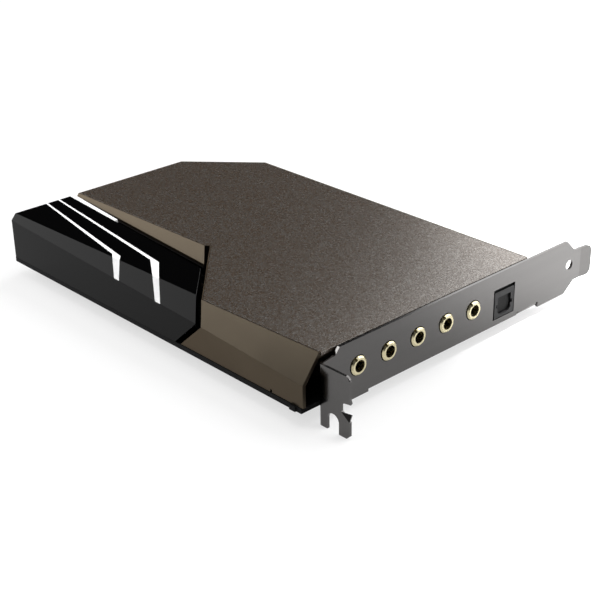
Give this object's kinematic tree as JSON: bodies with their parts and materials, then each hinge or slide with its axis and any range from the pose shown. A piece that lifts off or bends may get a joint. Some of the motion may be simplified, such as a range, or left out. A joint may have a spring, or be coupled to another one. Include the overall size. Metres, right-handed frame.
{
  "type": "internal sound card",
  "caption": "Slot-mounted computer sound card: bronze shroud with a slanted gloss-black end cover and white lines, steel bracket with audio jacks and a shuttered optical socket.",
  "frame": {"origin": "centre of the bracket's open screw slot, on the tab's seating face", "axes": "+X along the card away from the bracket, +Y out of the tab towards the screw's head, +Z from the board's solder side to its component side"},
  "size_m": [0.1567, 0.1254, 0.0214],
  "materials": {
    "bracket_steel": "satin nickel-plated sheet",
    "screw_steel": "zinc-plated",
    "board_black": "black solder mask on glass fibre",
    "gold": "gold-plated",
    "bronze_satin": "satin bronze paint on a moulding",
    "bronze_grain": "fine blasted and dyed",
    "gloss_black": "high gloss",
    "white_inlay": "satin white",
    "socket_grey": "fine moulded",
    "shutter_grey": "fine moulded",
    "lens_clear": "clear red-tinted",
    "chip_black": "moulded epoxy",
    "ferrite_grey": "pressed ferrite",
    "can_aluminium": "drawn can",
    "film_red": "moulded case",
    "relay_white": "moulded case",
    "jack_black": "moulded",
    "solder": "bright tin"
  },
  "bodies": {
    "card": {"audio_processor": "chip_black", "bracket": "bracket_steel", "bracket_screws": "screw_steel", "circuit_board": "board_black", "converter_chip": "chip_black", "cover_screws": "screw_steel", "crystal": "can_aluminium", "edge_contacts": "gold", "electrolytic_capacitors": "can_aluminium", "end_cover": "gloss_black", "film_capacitors": "film_red", "front_panel_header": "jack_black", "header_pins": "gold", "headphone_amplifier": "chip_black", "inductors": "ferrite_grey", "jack_1_body": "jack_black", "jack_1_bushing": "gold", "jack_1_contacts": "gold", "jack_2_body": "jack_black", "jack_2_bushing": "gold", "jack_2_contacts": "gold", "jack_3_body": "jack_black", "jack_3_bushing": "gold", "jack_3_contacts": "gold", "jack_4_body": "jack_black", "jack_4_bushing": "gold", "jack_4_contacts": "gold", "jack_5_body": "jack_black", "jack_5_bushing": "gold", "jack_5_contacts": "gold", "light_line_inner": "white_inlay", "light_line_outer": "white_inlay", "light_strip": "white_inlay", "op_amps": "chip_black", "optical_emitter": "lens_clear", "optical_housing": "socket_grey", "regulators": "chip_black", "relays": "relay_white", "shroud": "bronze_satin", "shutter_pin": "screw_steel", "shutter_spring": "screw_steel", "solder_joints": "solder", "top_plate": "bronze_grain"},
    "shutter": {"optical_shutter": "shutter_grey"}
  },
  "joints": [
    {"name": "shutter_hinge", "type": "hinge", "parent": "card", "child": "shutter", "pos_m": [0.0061, -0.07636, 0.0103], "axis": [0, -1, 0], "range_deg": [0, 85], "stiffness_Nm_per_rad": 0.0005, "springref_deg": -17.19}
  ]
}
